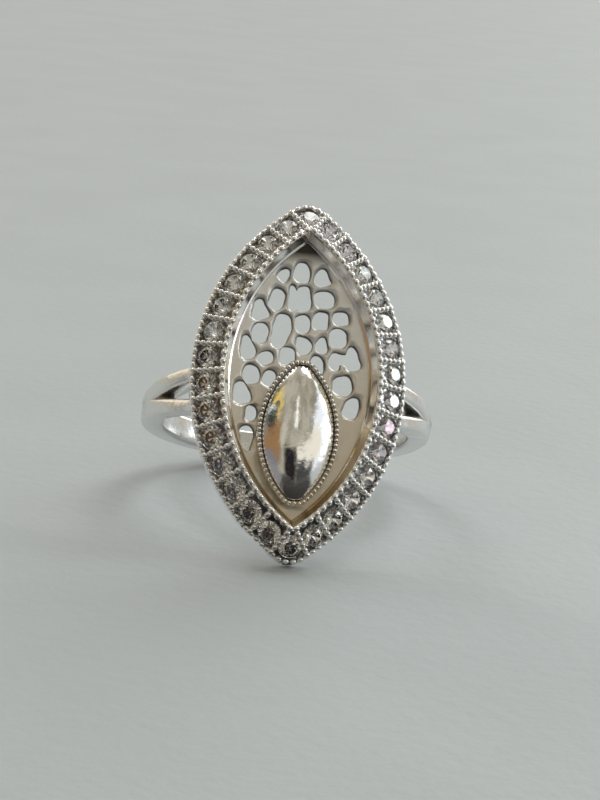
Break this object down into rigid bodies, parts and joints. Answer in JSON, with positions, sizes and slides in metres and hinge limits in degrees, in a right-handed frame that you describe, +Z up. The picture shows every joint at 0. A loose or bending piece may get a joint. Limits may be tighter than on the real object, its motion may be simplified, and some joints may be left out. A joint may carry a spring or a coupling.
{
  "type": "silver ring",
  "caption": "Silver ring with a pointed oval head: a pierced plate with a polished pointed dome inside a halo of round clear stones, on a shank that forks at both shoulders.",
  "frame": {"origin": "on the floor, under the middle of the ring's box as it lies on its side", "axes": "+Z up; -Y the way the head faces, tilted up from the floor; +X across the head, to the right as seen from the front"},
  "size_m": [0.0198, 0.024, 0.0211],
  "materials": {
    "silver": "bright polished silver, faint brown tarnish in the recesses",
    "dome_silver": "mirror polished silver",
    "clear_stone": "clear faceted stone"
  },
  "bodies": {
    "root": {"silver_mount": "silver", "polished_dome": "dome_silver", "stone_01": "clear_stone", "stone_02": "clear_stone", "stone_03": "clear_stone", "stone_04": "clear_stone", "stone_05": "clear_stone", "stone_06": "clear_stone", "stone_07": "clear_stone", "stone_08": "clear_stone", "stone_09": "clear_stone", "stone_10": "clear_stone", "stone_11": "clear_stone", "stone_12": "clear_stone", "stone_13": "clear_stone", "stone_14": "clear_stone", "stone_15": "clear_stone", "stone_16": "clear_stone", "stone_17": "clear_stone", "stone_18": "clear_stone", "stone_19": "clear_stone", "stone_20": "clear_stone", "stone_21": "clear_stone", "stone_22": "clear_stone", "stone_23": "clear_stone", "stone_24": "clear_stone", "stone_25": "clear_stone", "stone_26": "clear_stone", "stone_27": "clear_stone", "stone_28": "clear_stone", "stone_29": "clear_stone", "stone_30": "clear_stone"}
  },
  "joints": []
}
